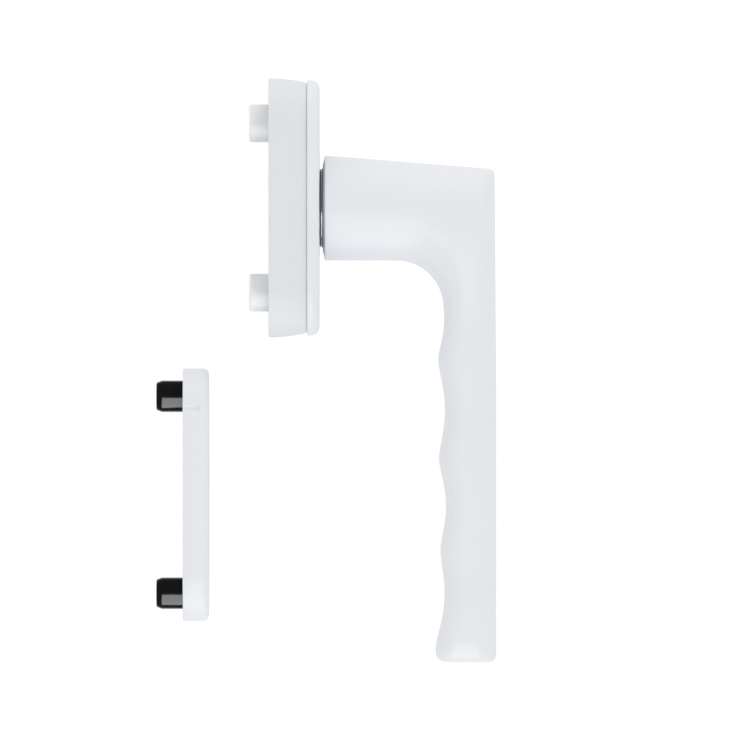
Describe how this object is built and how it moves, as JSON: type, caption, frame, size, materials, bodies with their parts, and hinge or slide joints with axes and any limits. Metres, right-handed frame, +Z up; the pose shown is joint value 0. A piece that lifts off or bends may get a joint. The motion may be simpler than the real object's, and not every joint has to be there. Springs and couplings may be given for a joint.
{
  "type": "window handle with rosette",
  "caption": "Lever handle with a finger grip on a swivelling two-part rosette, for a tilt-and-turn window, with a loose keyhole escutcheon.",
  "frame": {"origin": "on the spindle axis, in the plane of the sash face that the rosette lies on", "axes": "+X along the spindle out of the sash into the room, +Z up with the closed lever hanging down, Y across the sash"},
  "size_m": [0.0863, 0.0328, 0.1481],
  "materials": {
    "white_coat": "satin powder coat",
    "white_plastic": "satin",
    "natural_nylon": "matte",
    "black_plastic": "satin",
    "nickel_plate": "polished",
    "zinc_casting": "as cast",
    "zinc_plated_steel": "zinc plated",
    "spring_steel": "blued"
  },
  "bodies": {
    "rosette": {"rosette_base": "white_plastic", "carrier_plate": "zinc_plated_steel", "support_nib_upper": "natural_nylon", "support_nib_lower": "natural_nylon", "bearing_collar": "zinc_casting", "bearing_bush": "natural_nylon", "thrust_washer": "black_plastic", "detent_spring_left": "spring_steel", "detent_spring_right": "spring_steel"},
    "handle": {"handle_lever": "white_coat", "drive_sleeve": "nickel_plate", "spindle_clip": "spring_steel", "index_cam": "zinc_casting", "retaining_ring": "spring_steel"},
    "guide_ring": {"cover_guide_ring": "white_plastic"},
    "cover": {"cover_plate": "white_coat"},
    "escutcheon": {"escutcheon_base": "black_plastic"},
    "escutcheon_cap": {"escutcheon_cover": "white_plastic"}
  },
  "joints": [
    {"name": "handle_turn", "type": "hinge", "parent": "rosette", "child": "handle", "pos_m": [0, 0, 0], "axis": [1, 0, 0], "range_deg": [-180, 180], "deforming": ["detent_spring_left", "detent_spring_right"]},
    {"name": "cover_lift", "type": "slide", "parent": "rosette", "child": "guide_ring", "axis": [1, 0, 0], "range_m": [0, 0.0006]},
    {"name": "cover_swivel", "type": "hinge", "parent": "guide_ring", "child": "cover", "pos_m": [0, 0, 0], "axis": [1, 0, 0], "range_deg": [-90, 90]},
    {"name": "escutcheon_push_on", "type": "slide", "parent": "rosette", "child": "escutcheon", "axis": [1, 0, 0], "range_m": [0, 0.0217]},
    {"name": "escutcheon_cap_pull", "type": "slide", "parent": "escutcheon", "child": "escutcheon_cap", "axis": [1, 0, 0], "range_m": [0, 0.008]}
  ]
}
